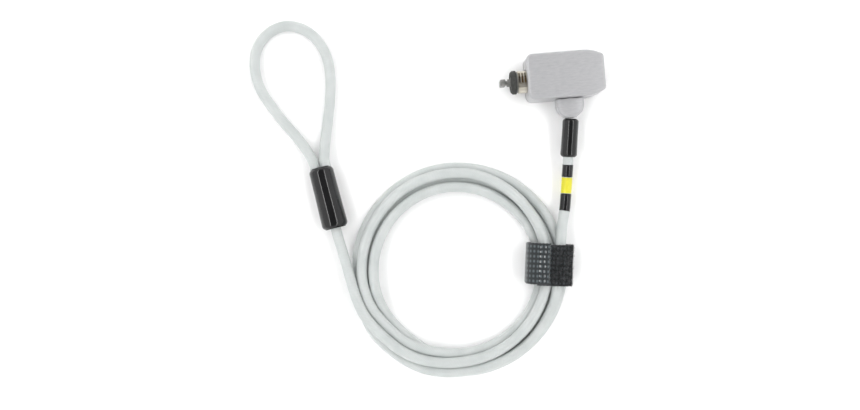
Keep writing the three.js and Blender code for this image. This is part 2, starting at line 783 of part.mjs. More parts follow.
const swivel = new THREE.Group();
group.add(swivel);
add(swivel, 'lug', lug(), castZinc());
add(swivel, 'swivel_stud', swivelStud(), springSteel());
add(swivel, 'lug_crimp', lugCrimp(), springSteel());

const cable = new THREE.Group();
group.add(cable);
const lead = routeCurve([[lugX, lugEnd - leadStart, axisZ], ...leadPoints]);
const sleeveTop = lead.getPointAt(0);
const sleeveEnd = lead.getPointAt(leadSleeveEnd / lead.getLength());
const lockSleeveLength = sleeveTop.distanceTo(sleeveEnd);
const lockSleeve = add(cable, 'lock_end_sleeve',
  sleeveBetween(sleeveTop, sleeveEnd, sleeveRadius, sleeveEndRound, 0), blackVinyl());
layAlong(lockSleeve, sleeveTop, sleeveEnd);
add(cable, 'cable_lead_upper',
  cableStretch(lead, lockSleeveLength + gap, bandStarts[0] - gap, 2), clearVinyl());
bandNames.forEach((name, index) => {
  const end = index + 1 < bandNames.length ? bandStarts[index + 1] : lastBandEnd;
  const colour = finish(bandColours[index], 0.25, 0);
  add(cable, name, cableStretch(lead, bandStarts[index], end - gap, 3), colour);
});
add(cable, 'cable_lead_lower', cableStretch(lead, lastBandEnd, leadEnd, 2), clearVinyl());
add(cable, 'cable_coil', cableCoil(), clearVinyl());
add(cable, 'tie_band', strapRing(0), tapeBlack());
add(cable, 'tie_flap', strapFlap(), tapeBlack());
const tail = routeCurve(tailPoints);
add(cable, 'cable_tail', cableStretch(tail, gap, tailEnd, 3), clearVinyl());

const loopSleeveLength = loopSleeveTop.distanceTo(loopSleeveBottom);
const loopBore = loopSleeveRadius - loopSleeveWall;
const loopSleeve = add(cable, 'loop_end_sleeve', sleeveBetween(loopSleeveBottom, loopSleeveTop,
  loopSleeveRadius, loopSleeveEndRound, loopBore), blackVinyl());
layAlong(loopSleeve, loopSleeveBottom, loopSleeveTop);
layAlong(add(cable, 'loop_crimp', loopCrimp(loopSleeveLength), springSteel()), loopSleeveBottom,
  loopSleeveTop);
const loop = routeCurve(loopPoints);
add(cable, 'cable_loop', cableStretch(loop, gap, loop.getLength() - gap, 48), clearVinyl());

export default group;
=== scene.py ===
# Laptop cable lock, lying flat with its cable coiled in a hook-and-loop tie.
import json
import math
import random

import bmesh
import bpy
import numpy as np
from mathutils import Matrix, Vector


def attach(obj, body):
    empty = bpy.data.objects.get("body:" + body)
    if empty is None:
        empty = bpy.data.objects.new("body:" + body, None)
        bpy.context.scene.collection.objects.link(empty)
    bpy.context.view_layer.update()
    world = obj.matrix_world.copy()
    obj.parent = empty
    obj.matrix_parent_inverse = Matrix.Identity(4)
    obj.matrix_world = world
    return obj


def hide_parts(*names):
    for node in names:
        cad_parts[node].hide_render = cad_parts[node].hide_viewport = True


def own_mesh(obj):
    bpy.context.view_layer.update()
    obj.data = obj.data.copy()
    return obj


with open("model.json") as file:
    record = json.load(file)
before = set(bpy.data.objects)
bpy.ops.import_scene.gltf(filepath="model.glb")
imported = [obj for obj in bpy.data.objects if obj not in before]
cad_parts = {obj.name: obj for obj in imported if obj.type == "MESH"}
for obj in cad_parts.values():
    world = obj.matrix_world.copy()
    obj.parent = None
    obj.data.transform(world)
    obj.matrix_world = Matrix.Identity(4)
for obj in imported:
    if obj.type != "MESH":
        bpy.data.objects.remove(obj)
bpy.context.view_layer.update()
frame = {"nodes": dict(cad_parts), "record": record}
nodes = frame["nodes"]
scene = bpy.context.scene
mm = 0.001


view = {
    "place": (-0.0685, -0.05605, 0.420),
    "turn": -4.6,  # degrees about Z
    "lens": 36.2,
    "sensor": 36,
}


def makeCamera():
    data = bpy.data.cameras.new("tableCamera")
    data.lens = view["lens"]
    data.sensor_width = view["sensor"]
    data.clip_start = 0.01
    camera = bpy.data.objects.new("tableCamera", data)
    camera.location = view["place"]
    camera.rotation_euler = (0, 0, math.radians(view["turn"]))
    scene.collection.objects.link(camera)
    scene.camera = camera


makeCamera()
print("camera placed")


cable = {
    "diameter": 5,
    "leadStart": (1.6, -20.9, 8.0),  # just outside the lug's end
    "leadPoints": [
        (0.4, -29, 7.5), (-0.8, -37.7, 6.9), (-1.2, -42, 6.4), (-2.0, -47.9, 5.8),
        (-3.0, -55.2, 5.4), (-4.3, -63, 5.7), (-5.5, -67.8, 6.2), (-6.7, -72.6, 7),
    ],
    "tailPoints": [
        (-114.5, -62.3, 6.0), (-113.9, -66, 6.2), (-112.9, -70.8, 6.6), (-111.6, -76, 7.1),
    ],
    "loopPoints": [
        (-121.85, -34.62, 5.8), (-122.5, -31.6, 5.7), (-125.2, -25.6, 4.6), (-130.2, -18, 3.2),
        (-135.7, -10.6, 2.6), (-140.4, -3.4, 2.6), (-144.4, 3.6, 2.6), (-146.8, 10.6, 2.6),
        (-147.4, 17.4, 2.6), (-146.3, 24, 2.6), (-142.7, 30.1, 2.6), (-136.6, 34.3, 2.6),
        (-129.7, 35.5, 2.6), (-122.8, 33.3, 2.6), (-116.9, 28.2, 2.6), (-113.1, 21.2, 2.6),
        (-111.7, 14.2, 2.6), (-111.6, 7, 2.6), (-112.4, -0.4, 2.6), (-113.6, -7.6, 2.6),
        (-115.0, -14.8, 3), (-116.3, -22, 3.9), (-117.1, -28, 5.3), (-117.3, -30.7, 5.7),
        (-116.75, -33.58, 5.8),
    ],
    "intoSleeve": [  # how the second leg ends beside the first one, inside the sleeve
        (-116.35, -35.6, 5.8), (-115.6, -39.2, 5.8), (-114.9, -43, 5.8),
    ],
    "outOfSleeve": [  # from the sleeve's bottom to the first leg, inside the sleeve
        (-115.5, -56.4, 5.9), (-117.0, -50.5, 5.8), (-119.2, -43.2, 5.8), (-121.1, -37.6, 5.8),
    ],
    "coarse": 2.4,  # between the points while the turns settle
    "fine": 1.1,
    "sides": 24,
}

# where each turn lies in the bundle
coil = {
    "centre": (-58.3, -88.4),
    "innerRadius": 39.8,
    "outerRadius": 51.2,
    "top": 10.85,
    "floor": 2.52,
    "spacing": 5.06,  # between the middles of neighbouring turns
    "tieAngle": 15,
    "tieLift": 1.5,  # the tape passes under the turns
    "tieTop": 9.3,
    "rounds": 600,
    "stiffness": 0.05,
    "weight": 0.01,
    "keepToLay": 0.03,  # how hard the turns are held to the lay, and for what share of the rounds
    "keepFor": 0.85,
    "push": 0.35,
    "longestPush": 0.6,
    "searchEvery": 10,
    "searchPast": 3,
    "nextPoints": 6,  # points this near along the cable don't push each other
    "freeEnds": 8,
    "lay": [  # angle in degrees, radius, height
        (181, 49.6, 8.4), (191, 48.8, 9.6), (200, 47.9, 10.4), (209, 46.9, 10.8), (225, 45.9, 10.8),
        (240, 44.8, 10.5), (255, 43.8, 10.1), (270, 43.0, 9.9), (292, 42.6, 9.7), (315, 42.5, 9.5),
        (335, 42.8, 8.8), (350, 43.1, 8.5),
        (370, 43.6, 8.5), (390, 44.6, 8.6), (405, 45.3, 8.6), (425, 46.2, 8.0), (450, 46.7, 7.0),
        (495, 46.3, 7.0), (540, 45.3, 7.0), (560, 44.2, 7.2), (585, 42.3, 7.4), (607, 41.2, 7.0),
        (630, 40.0, 6.3), (652, 40.1, 5.6), (675, 40.3, 5.0), (695, 40.6, 4.2), (710, 40.8, 4.1),
        (730, 40.9, 4.1), (750, 40.6, 4.3), (765, 40.4, 4.6), (785, 40.6, 5.6), (810, 40.7, 6.5),
        (855, 40.3, 6.8), (900, 40.2, 6.9), (920, 39.8, 5.2), (945, 39.9, 3.0), (967, 41.8, 2.6),
        (990, 43.3, 2.6), (1035, 44.8, 2.7), (1055, 45.5, 3.9), (1070, 45.9, 4.1),
        (1090, 45.9, 4.1), (1110, 45.4, 3.4), (1125, 45.0, 2.8), (1170, 44.0, 2.6), (1215, 43.2, 2.6),
        (1260, 42.5, 2.6), (1280, 43.4, 2.6), (1305, 45.0, 2.6), (1350, 48.3, 2.6), (1395, 49.9, 3.0),
        (1415, 50.6, 3.9), (1430, 51.0, 4.1),
        (1450, 51.0, 4.1), (1470, 50.6, 3.4), (1485, 50.2, 2.8), (1530, 49.1, 2.6), (1575, 48.3, 2.6),
        (1620, 47.6, 2.6), (1640, 48.4, 3.6), (1665, 49.2, 5.4), (1710, 47.6, 7.6), (1755, 48.8, 8.2),
        (1775, 48.6, 8.4), (1800, 48.9, 8.5),
    ],
}


def lengthsAlong(line):
    return np.concatenate([[0], np.cumsum(np.linalg.norm(np.diff(line, axis=0), axis=1))])


def evenSteps(line, step):
    along = lengthsAlong(line)
    wanted = np.linspace(0, along[-1], int(round(along[-1] / step)) + 1)
    return np.stack([np.interp(wanted, along, line[:, k]) for k in range(3)], axis=1)


def smoothLine(points, step):
    # a centripetal Catmull-Rom curve through the points, as points at even steps along it
    places = np.array(points, float)
    first = places[0] * 2 - places[1]
    last = places[-1] * 2 - places[-2]
    padded = np.vstack([first, places, last])
    line = []
    for i in range(1, len(padded) - 2):
        p0, p1, p2, p3 = padded[i - 1:i + 3]
        k1 = np.linalg.norm(p1 - p0) ** 0.5
        k2 = k1 + np.linalg.norm(p2 - p1) ** 0.5
        k3 = k2 + np.linalg.norm(p3 - p2) ** 0.5
        count = max(4, int(np.linalg.norm(p2 - p1) / step * 4))
        for t in np.linspace(k1, k2, count, endpoint=False):
            a1 = p0 * (k1 - t) / k1 + p1 * t / k1
            a2 = p1 * (k2 - t) / (k2 - k1) + p2 * (t - k1) / (k2 - k1)
            a3 = p2 * (k3 - t) / (k3 - k2) + p3 * (t - k2) / (k3 - k2)
            b1 = a1 * (k2 - t) / k2 + a2 * t / k2
            b2 = a2 * (k3 - t) / (k3 - k1) + a3 * (t - k1) / (k3 - k1)
            line.append(b1 * (k2 - t) / (k2 - k1) + b2 * (t - k1) / (k2 - k1))
    line.append(places[-1])
    return evenSteps(np.array(line), step)


def plannedTurns():
    # the turns as laid, from the lead's end back to the tail
    angle, radius, height = np.array(coil["lay"]).T
    fine = np.arange(angle[0], angle[-1], 3.0)
    r = np.interp(fine, angle, radius)
    around = np.radians(fine)
    x = coil["centre"][0] + r * np.cos(around)
    y = coil["centre"][1] + r * np.sin(around)
    z = np.interp(fine, angle, height)
    return np.stack([x, y, z], axis=1)[::-1]


def pushApart(line, free, first, second):
    between = line[first] - line[second]
    gap = np.linalg.norm(between, axis=1)
    short = np.clip(coil["spacing"] - gap, 0, None) / np.maximum(gap, 1e-6) * coil["push"]
    shove = np.zeros_like(line)
    np.add.at(shove, first, between * short[:, None])
    np.add.at(shove, second, -between * short[:, None])
    size = np.linalg.norm(shove, axis=1, keepdims=True)
    shove *= np.minimum(1, coil["longestPush"] / np.maximum(size, 1e-9))
    line[free] += shove[free]


def settle(line, free, ringed):
    # the turns keep their curve smooth, lie down, and push each other apart
    planned = line.copy()
    centre = np.array(coil["centre"])
    for turn in range(coil["rounds"]):
        if turn % coil["searchEvery"] == 0:
            gaps = np.linalg.norm(line[:, None, :] - line[None, :, :], axis=2)
            near = gaps < coil["spacing"] + coil["searchPast"]
            first, second = np.nonzero(np.triu(near, coil["nextPoints"]))
        move = np.zeros_like(line)
        bend = line[:-4] - 4 * line[1:-3] + 6 * line[2:-2] - 4 * line[3:-1] + line[4:]
        move[2:-2] -= coil["stiffness"] * bend
        if turn < coil["rounds"] * coil["keepFor"]:
            move += coil["keepToLay"] * (planned - line)
        move[:, 2] -= coil["weight"]
        line[free] += move[free]
        pushApart(line, free, first, second)
        pushApart(line, free, first, second)
        flat = line[:, :2] - centre
        radius = np.linalg.norm(flat, axis=1)
        kept = np.clip(radius, coil["innerRadius"], coil["outerRadius"])
        line[ringed, :2] = centre + flat[ringed] * (kept / radius)[ringed, None]
        angle = np.abs(np.degrees(np.arctan2(flat[:, 1], flat[:, 0])))
        inTie = np.clip(2 * (1 - angle / coil["tieAngle"]), 0, 1)
        low = coil["floor"] + coil["tieLift"] * inTie
        high = coil["top"] + (coil["tieTop"] - coil["top"]) * inTie
        line[free, 2] = np.clip(line[free, 2], low[free], high[free])
    return line


def cableLine():
    lead = smoothLine([cable["leadStart"], *cable["leadPoints"]], cable["coarse"])
    tail = smoothLine(cable["tailPoints"], cable["coarse"])[::-1]
    turns = evenSteps(plannedTurns(), cable["coarse"])[2:-2]
    line = np.vstack([lead, turns, tail])
    free = np.zeros(len(line), bool)
    free[len(lead) - 1:len(line) - len(tail) + 1] = True
    ringed = np.zeros(len(line), bool)
    ringed[len(lead) + coil["freeEnds"]:len(line) - len(tail) - coil["freeEnds"]] = True
    line = settle(line, free, ringed)
    gaps = np.linalg.norm(line[:, None, :] - line[None, :, :], axis=2)
    closest = gaps[np.triu(np.ones_like(gaps), coil["freeEnds"]) > 0].min()
    print("turns settled, closest middles", round(float(closest), 2), "mm, highest",
          round(float(line[:, 2].max()), 2))
    loop = smoothLine([*cable["loopPoints"], *cable["intoSleeve"]], cable["coarse"])
    return smoothLine(np.vstack([line, cable["outOfSleeve"], loop]), cable["fine"])


route = cableLine()


def meshObject(name, vertices, faces, smooth=True, uvs=None):
    mesh = bpy.data.meshes.new(name)
    mesh.from_pydata([tuple(v) for v in vertices], [], [tuple(f) for f in faces])
    if uvs is not None:
        layer = mesh.uv_layers.new(name="UVMap")
        for loop in mesh.loops:
            layer.data[loop.index].uv = uvs[loop.vertex_index]
    mesh.polygons.foreach_set("use_smooth", [smooth] * len(mesh.polygons))
    obj = bpy.data.objects.new(name, mesh)
    scene.collection.objects.link(obj)
    return obj


def tubeMesh(name, line, radii, sides):
    # a closed tube along a line in millimetres; U runs along it in centimetres and V round it
    line = np.asarray(line, float)
    along = lengthsAlong(line)
    tangents = np.gradient(line, axis=0)
    tangents /= np.linalg.norm(tangents, axis=1, keepdims=True)
    side = np.cross(tangents[0], [0, 0, 1.0])
    vertices, uvs = [], []
    for place, tangent, radius, length in zip(line, tangents, np.broadcast_to(radii, len(line)), along):
        side = side - tangent * np.dot(side, tangent)
        side /= np.linalg.norm(side)
        up = np.cross(side, tangent)
        for k in range(sides):
            angle = 2 * math.pi * k / sides
            vertices.append((place + (side * math.cos(angle) + up * math.sin(angle)) * radius) * mm)
            uvs.append((length / 10, k / sides))
    faces = []
    for i in range(len(line) - 1):
        for k in range(sides):
            after = (k + 1) % sides
            faces.append((i * sides + after, i * sides + k, (i + 1) * sides + k, (i + 1) * sides + after))
    faces.append(tuple(range(sides)))
    faces.append(tuple((len(line) - 1) * sides + k for k in reversed(range(sides))))
    return meshObject(name, vertices, faces, uvs=uvs)


def turnedMesh(name, profile, start, end, steps):
    # a turned piece between two points, from pairs of radius and distance along, closed on itself
    start, end = Vector(start), Vector(end)
    along = (end - start).normalized()
    side = along.cross(Vector((0, 0, 1))).normalized()
    up = along.cross(side)
    vertices, uvs = [], []
    for k in range(steps):
        angle = 2 * math.pi * k / steps
        outward = side * math.cos(angle) + up * math.sin(angle)
        for radius, distance in profile:
            vertices.append((start + along * distance + outward * radius) * mm)
            uvs.append((distance / 10, k / steps))
    count = len(profile)
    faces = []
    for k in range(steps):
        after = (k + 1) % steps
        for i in range(count):
            j = (i + 1) % count
            faces.append((k * count + i, after * count + i, after * count + j, k * count + j))
    obj = meshObject(name, vertices, faces, uvs=uvs)
    cleanMesh(obj)
    return obj


def cleanMesh(obj, distance=0.002):
    edit = bmesh.new()
    edit.from_mesh(obj.data)
    bmesh.ops.remove_doubles(edit, verts=edit.verts, dist=distance * mm)
    bmesh.ops.recalc_face_normals(edit, faces=edit.faces)
    edit.to_mesh(obj.data)
    edit.free()


def sharpen(obj, degrees=30):
    obj.data.polygons.foreach_set("use_smooth", [True] * len(obj.data.polygons))
    obj.data.set_sharp_from_angle(angle=math.radians(degrees))


def arcPoints(middle, radius, fromDegrees, toDegrees, steps):
    points = []
    for i in range(steps + 1):
        angle = math.radians(fromDegrees + (toDegrees - fromDegrees) * i / steps)
        points.append((middle[0] + radius * math.cos(angle), middle[1] + radius * math.sin(angle)))
    return points


def material(name, colour, roughness, metallic=0.0, more=None):
    made = bpy.data.materials.new(name)
    made.use_nodes = True
    shader = made.node_tree.nodes["Principled BSDF"]
    shader.inputs["Base Color"].default_value = (*colour, 1)
    shader.inputs["Roughness"].default_value = roughness
    shader.inputs["Metallic"].default_value = metallic
    for key, value in (more or {}).items():
        shader.inputs[key].default_value = value
    return made


def link(made, output, target):
    made.node_tree.links.new(output, target)


def noiseNode(made, scale, detail=3.0, rough=0.5, stretch=(1, 1, 1)):
    tree = made.node_tree
    place = tree.nodes.new("ShaderNodeTexCoord")
    mapping = tree.nodes.new("ShaderNodeMapping")
    mapping.inputs["Scale"].default_value = stretch
    noise = tree.nodes.new("ShaderNodeTexNoise")
    noise.inputs["Scale"].default_value = scale
    noise.inputs["Detail"].default_value = detail
    noise.inputs["Roughness"].default_value = rough
    link(made, place.outputs["Object"], mapping.inputs["Vector"])
    link(made, mapping.outputs["Vector"], noise.inputs["Vector"])
    return noise


def waveNode(made, vector, direction, scale, wander):
    wave = made.node_tree.nodes.new("ShaderNodeTexWave")
    wave.bands_direction = direction
    wave.inputs["Scale"].default_value = scale
    wave.inputs["Distortion"].default_value = wander
    wave.inputs["Detail"].default_value = 2
    link(made, vector, wave.inputs["Vector"])
    return wave


def colourFrom(made, factor, dark, light, low=0.3, high=0.7):
    ramp = made.node_tree.nodes.new("ShaderNodeValToRGB")
    ramp.color_ramp.elements[0].position = low
    ramp.color_ramp.elements[1].position = high
    ramp.color_ramp.elements[0].color = (*dark, 1)
    ramp.color_ramp.elements[1].color = (*light, 1)
    link(made, factor, ramp.inputs["Fac"])
    link(made, ramp.outputs["Color"], made.node_tree.nodes["Principled BSDF"].inputs["Base Color"])
    return ramp


def roughnessFrom(made, factor, low, high):
    span = made.node_tree.nodes.new("ShaderNodeMapRange")
    span.inputs["To Min"].default_value = low
    span.inputs["To Max"].default_value = high
    link(made, factor, span.inputs["Value"])
    link(made, span.outputs["Result"], made.node_tree.nodes["Principled BSDF"].inputs["Roughness"])


def bumpFrom(made, factor, strength, distance, before=None):
    bump = made.node_tree.nodes.new("ShaderNodeBump")
    bump.inputs["Strength"].default_value = strength
    bump.inputs["Distance"].default_value = distance * mm
    link(made, factor, bump.inputs["Height"])
    if before is not None:
        link(made, before.outputs["Normal"], bump.inputs["Normal"])
    link(made, bump.outputs["Normal"], made.node_tree.nodes["Principled BSDF"].inputs["Normal"])
    return bump


# tone is the broad noise behind the colour, marks the finer one behind roughness and bump;
# a bump is its strength and its depth in millimetres
surfaces = {
    "satinZinc": {
        "dark": (0.375, 0.375, 0.39), "light": (0.445, 0.445, 0.452), "metallic": 0.3,
        "roughness": (0.34, 0.52), "more": {"Coat Weight": 0.5, "Coat Roughness": 0.28},
        "tone": {"scale": 1500, "rough": 0.6, "stretch": (0.22, 1, 1)},
        "marks": {"scale": 4200, "detail": 2, "rough": 0.6},
        "bump": (0.35, 0.03), "toneBump": (0.3, 0.03),
    },
    "platedNickel": {
        "dark": (0.50, 0.46, 0.38), "light": (0.66, 0.625, 0.55), "metallic": 1,
        "roughness": (0.26, 0.42),
        "tone": {"scale": 300, "stretch": (0.3, 1, 1)},
        "marks": {"scale": 2400, "rough": 0.6, "stretch": (0.15, 1, 1)},
        "bump": (0.15, 0.01),
    },
    "machinedBrass": {
        "dark": (0.13, 0.08, 0.04), "light": (0.30, 0.19, 0.09), "metallic": 1, "roughness": 0.35,
        "tone": {"scale": 500},
        "marks": {"scale": 3000, "detail": 2, "stretch": (0.2, 1, 1)},
        "bump": (0.2, 0.01),
    },
    "darkenedSteel": {
        "dark": (0.20, 0.20, 0.19), "light": (0.40, 0.395, 0.38), "metallic": 0.7,
        "roughness": (0.3, 0.5),
        "tone": {"scale": 420},
        "marks": {"scale": 3600, "detail": 2},
        "bump": (0.25, 0.015),
    },
    "brightSteel": {
        "dark": (0.48, 0.48, 0.49), "light": (0.62, 0.62, 0.63), "metallic": 1,
        "roughness": (0.22, 0.38),
        "tone": {"scale": 380},
        "marks": {"scale": 3000, "detail": 2, "stretch": (0.25, 1, 1)},
        "bump": (0.15, 0.01),
    },
    "mattRubber": {
        "dark": (0.022, 0.023, 0.021), "light": (0.05, 0.051, 0.047), "span": (0.35, 0.75),
        "roughness": 0.72,
        "tone": {"scale": 900, "detail": 4, "rough": 0.65},
        "marks": {"scale": 4200, "detail": 2, "rough": 0.6},
        "bump": (0.4, 0.03),
    },
    "blackVinyl": {
        "dark": (0.005, 0.005, 0.0055), "light": (0.009, 0.009, 0.0095), "roughness": (0.04, 0.16),
        "more": {"IOR": 1.5},
        "tone": {"scale": 220, "detail": 2},
        "marks": {"scale": 900, "detail": 2},
        "bump": (0.05, 0.02),
    },
    "yellowVinyl": {
        "dark": (0.60, 0.55, 0.02), "light": (0.68, 0.63, 0.03), "roughness": (0.25, 0.37),
        "more": {"IOR": 1.5},
        "tone": {"scale": 220, "detail": 2},
        "marks": {"scale": 900, "detail": 2},
        "bump": (0.05, 0.02),
    },
}


def surfaceFinish(name):
    look = surfaces[name]
    rough = look["roughness"]
    spread = isinstance(rough, tuple)
    made = material(name, look["light"], rough[0] if spread else rough, look.get("metallic", 0),
                    look.get("more"))
    tone = noiseNode(made, **look["tone"])
    colourFrom(made, tone.outputs["Fac"], look["dark"], look["light"], *look.get("span", (0.3, 0.7)))
    marks = noiseNode(made, **look["marks"])
    if spread:
        roughnessFrom(made, marks.outputs["Fac"], *rough)
    bump = bumpFrom(made, marks.outputs["Fac"], *look["bump"])
    if "toneBump" in look:
        bumpFrom(made, tone.outputs["Fac"], *look["toneBump"], bump)
    return made


sheathVinyl = {
    "dark": (0.455, 0.484, 0.478),
    "light": (0.535, 0.556, 0.55),
    "span": (0.35, 0.9),
    "more": {"IOR": 1.48, "Coat Weight": 0.15, "Subsurface Weight": 0.5, "Subsurface Radius": (1, 1, 1),
             "Subsurface Scale": 0.0035},
    "strandTurn": 24,  # degrees to the cable
    "strandStretch": (4.0, 6.0, 1),
    "strandScale": 1.1,
    "strandWander": 1.4,
    "strandShare": 0.25,
    "cloud": 130,
    "skin": 700,
    "roughness": (0.28, 0.4),
    "bump": (0.06, 0.02),
}


def clearVinyl():
    # pale vinyl that lets the lay of the steel strands under it show faintly
    look = sheathVinyl
    made = material("clearVinyl", look["light"], look["roughness"][0], 0, look["more"])
    tree = made.node_tree
    place = tree.nodes.new("ShaderNodeTexCoord")
    mapping = tree.nodes.new("ShaderNodeMapping")
    mapping.inputs["Rotation"].default_value = (0, 0, math.radians(look["strandTurn"]))
    mapping.inputs["Scale"].default_value = look["strandStretch"]
    strands = waveNode(made, mapping.outputs["Vector"], "X", look["strandScale"], look["strandWander"])
    link(made, place.outputs["UV"], mapping.inputs["Vector"])
    cloud = noiseNode(made, look["cloud"], 2)
    blend = tree.nodes.new("ShaderNodeMath")
    blend.operation = "MULTIPLY_ADD"
    blend.inputs[1].default_value = look["strandShare"]
    link(made, strands.outputs["Fac"], blend.inputs[0])
    link(made, cloud.outputs["Fac"], blend.inputs[2])
    colourFrom(made, blend.outputs["Value"], look["dark"], look["light"], *look["span"])
    skin = noiseNode(made, look["skin"], 2)
    roughnessFrom(made, skin.outputs["Fac"], *look["roughness"])
    bumpFrom(made, skin.outputs["Fac"], *look["bump"])
    return made


tapeWeave = {
    "dark": (0.012, 0.015, 0.017),
    "light": (0.085, 0.105, 0.112),
    "span": (0.1, 0.9),
    "roughness": 0.8,
    "more": {"Sheen Weight": 0.35, "Sheen Roughness": 0.5},
    "ribs": 1.9,  # along the tape
    "threads": 1.35,  # across it
    "wander": 0.6,
    "bump": (0.8, 0.12),
}


def wovenTape():
    look = tapeWeave
    made = material("wovenTape", look["light"], look["roughness"], 0, look["more"])
    tree = made.node_tree
    place = tree.nodes.new("ShaderNodeTexCoord")
    ribs = waveNode(made, place.outputs["UV"], "X", look["ribs"], look["wander"])
    threads = waveNode(made, place.outputs["UV"], "Y", look["threads"], look["wander"])
    product = tree.nodes.new("ShaderNodeMath")
    product.operation = "MULTIPLY"
    link(made, ribs.outputs["Fac"], product.inputs[0])
    link(made, threads.outputs["Fac"], product.inputs[1])
    colourFrom(made, product.outputs["Value"], look["dark"], look["light"], *look["span"])
    bumpFrom(made, product.outputs["Value"], *look["bump"])
    return made


fibre = {
    "roughness": 0.85,
    "more": {"Sheen Weight": 0.3, "Sheen Roughness": 0.4},
    "scale": 520,
    "span": (0.4, 0.68),
    "pile": ((0.004, 0.0045, 0.005), (0.075, 0.078, 0.082)),  # dark and light
    "hooks": ((0.18, 0.19, 0.195), (0.42, 0.43, 0.43)),
    "thread": ((0.10, 0.11, 0.11), (0.26, 0.27, 0.27)),
}


def pileFibre(name, dark, light):
    made = material(name, light, fibre["roughness"], 0, fibre["more"])
    tone = noiseNode(made, fibre["scale"])
    colourFrom(made, tone.outputs["Fac"], dark, light, *fibre["span"])
    return made


finishes = {
    "cast_zinc": surfaceFinish("satinZinc"),
    "bright_steel": surfaceFinish("brightSteel"),
    "dark_steel": surfaceFinish("darkenedSteel"),
    "nickel_plate": surfaceFinish("platedNickel"),
    "plug_brass": surfaceFinish("machinedBrass"),
    "washer_rubber": surfaceFinish("mattRubber"),
    "black_vinyl": surfaceFinish("blackVinyl"),
    "yellow_vinyl": surfaceFinish("yellowVinyl"),
    "cable_vinyl": clearVinyl(),
    "tie_tape": wovenTape(),
}
print("materials made")


def finishPiece(obj, body, slotName, replaced=(), look=None):
    obj.data.materials.clear()
    obj.data.materials.append(look or finishes[slotName])
    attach(obj, body)
    if replaced:
        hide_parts(*replaced)
    return obj


sheath = tubeMesh("cable_sheath", route, cable["diameter"] / 2, cable["sides"])
finishPiece(sheath, "head", "cable_vinyl", ["cable_lead_upper", "cable_lead_lower", "cable_coil",
                                            "cable_tail", "cable_loop"])

bands = {
    "names": ["black_band_upper", "yellow_band", "black_band_lower"],
    "slots": ["black_vinyl", "yellow_vinyl", "black_vinyl"],
    "starts": [21.3, 27.5, 35.3, 43.9],  # lengths along the lead
    "proud": 0.09,
    "sunk": 0.1,  # the ends dip into the cable
    "edge": 0.12,
    "step": 0.25,
    "sides": 32,
}


def lineBetween(fromLength, toLength, step):
    along = lengthsAlong(route)
    wanted = np.linspace(fromLength, toLength, int((toLength - fromLength) / step) + 2)
    return np.stack([np.interp(wanted, along, route[:, k]) for k in range(3)], axis=1)


def bandMesh(name, fromLength, toLength):
    line = lineBetween(fromLength, toLength, bands["step"])
    along = lengthsAlong(line)
    ends = np.minimum(along, along[-1] - along)
    eased = np.sqrt(np.clip(1 - np.clip(1 - ends / bands["edge"], 0, 1) ** 2, 0, 1))
    radius = cable["diameter"] / 2 - bands["sunk"] + (bands["proud"] + bands["sunk"]) * eased
    return tubeMesh(name, line, radius, bands["sides"])


for index, node in enumerate(bands["names"]):
    band = bandMesh(node + "_wrap", bands["starts"][index], bands["starts"][index + 1])
    finishPiece(band, "head", bands["slots"][index], [node])

sleeves = {
    "lock_end_sleeve": {
        "from": (1.65, -20.5, 8.03), "to": (-0.72, -38.47, 6.84),
        "radius": 3.95, "endRound": 1.4, "flare": -0.15, "bore": 2.62, "lip": 0.35,
    },
    "loop_end_sleeve": {
        "from": (-114.3, -63.4, 6.3), "to": (-119.4, -34.1, 6.0),
        "radius": 5.85, "endRound": 2.2, "flare": 0.4, "bore": 4.3, "lip": 0.35,
    },
    "steps": 48,
    "arcSteps": 7,
    "waist": 0.06,
    "waistSteps": 8,
    "mouth": (0.1, 0.35),  # how the lip opens from the bore
    "mouthDepth": 0.5,
}


def sleeveMesh(name, size):
    # a soft sleeve with rounded ends, a small lip at each mouth and a slight waist
    length = (Vector(size["to"]) - Vector(size["from"])).length
    outer = []
    rounding = size["endRound"]
    for i in range(sleeves["arcSteps"] + 1):
        angle = i / sleeves["arcSteps"] * math.pi / 2
        outer.append((size["radius"] - rounding * (1 - math.sin(angle)), rounding * (1 - math.cos(angle))))
    inner = size["bore"]
    throat, mouth = sleeves["mouth"]
    deep = size["lip"] + sleeves["mouthDepth"]
    profile = [(inner, deep), (inner + throat, size["lip"] / 2), (inner + mouth, 0.0)]
    profile += outer
    for i in range(1, sleeves["waistSteps"]):
        share = i / sleeves["waistSteps"]
        waist = sleeves["waist"] * math.sin(math.pi * share)
        profile.append((size["radius"] - waist, rounding + (length - 2 * rounding) * share))
    profile += [(radius, length - distance) for radius, distance in reversed(outer)]
    profile += [(inner + mouth, length), (inner + throat, length - size["lip"] / 2),
                (inner, length - deep)]
    flared = [(radius + size["flare"] * (1 - distance / length), distance) for radius, distance in profile]
    return turnedMesh(name, flared, size["from"], size["to"], sleeves["steps"])


for node in ("lock_end_sleeve", "loop_end_sleeve"):
    sleeve = sleeveMesh(node.replace("sleeve", "boot"), sleeves[node])
    sharpen(sleeve, 50)
    finishPiece(sleeve, "head", "black_vinyl", [node])
print("cable, bands and sleeves made")


tie = {
    "x": -14.4,
    "y": -88.4,
    "halfWidth": 10.8,
    "turn": -6.9,  # degrees
    "tape": 19.4,  # the tape's width, along the cable
    "thick": 1.1,
    "corner": 4.2,
    "innerTop": 12.55,  # middle of the layer under the flap
    "outerTop": 14.0,
    "innerStart": -5.6,
    "flapEnd": 0.1,
    "step": 0.5,
    "across": 36,
    "clear": 0.05,  # above the table
    "arcSteps": 8,
    "skew": (-0.35, 0.75),  # how the tape wanders sideways, and its share round the bundle
    "skewAt": 0.35,
    "fray": 0.07,
}


